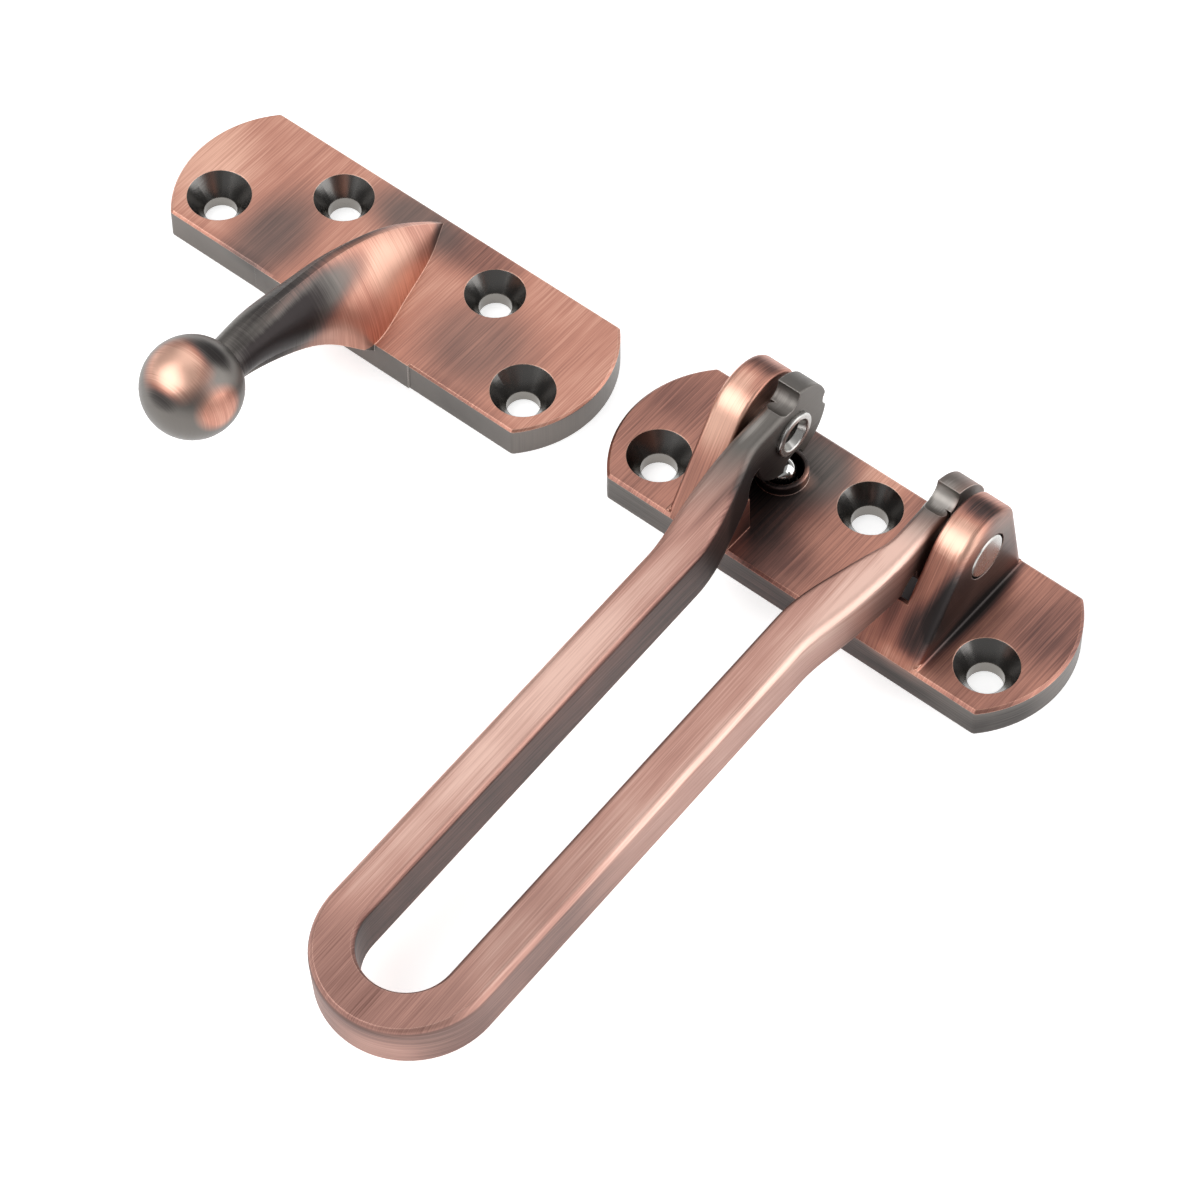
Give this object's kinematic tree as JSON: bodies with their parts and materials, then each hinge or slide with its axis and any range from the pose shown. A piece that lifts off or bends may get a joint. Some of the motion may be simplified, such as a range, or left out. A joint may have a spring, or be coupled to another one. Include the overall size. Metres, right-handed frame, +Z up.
{
  "type": "swing bar door guard",
  "caption": "Swing bar door guard: a hinged U-shaped bar on a base plate with ears, and a separate keeper plate with a curved arm and ball.",
  "frame": {"origin": "centre of the base plate's underside", "axes": "+X along the base plate, away from the keeper, +Y to the back of the plate, away from the lowered bar, +Z up out of the plate"},
  "size_m": [0.159, 0.1224, 0.0275],
  "materials": {
    "antique_copper": "brushed antique copper plate on zinc casting",
    "bright_steel": "bright"
  },
  "bodies": {
    "base": {"base_plate": "antique_copper", "left_hinge_pin": "bright_steel", "right_hinge_pin": "bright_steel", "detent_spring": "bright_steel", "keeper": "antique_copper"},
    "bar": {"swing_bar": "antique_copper"},
    "ball": {"detent_ball": "bright_steel"}
  },
  "joints": [
    {"name": "bar_swing", "type": "hinge", "parent": "base", "child": "bar", "pos_m": [0, 0.0033, 0.016], "axis": [-1, 0, 0], "range_deg": [0, 184.33]},
    {"name": "ball_slide", "type": "slide", "parent": "base", "child": "ball", "axis": [0, 0, 1], "range_m": [-0.001, 0], "stiffness_N_per_m": 2000, "springref_m": 0.001, "deforming": ["detent_spring"]}
  ]
}
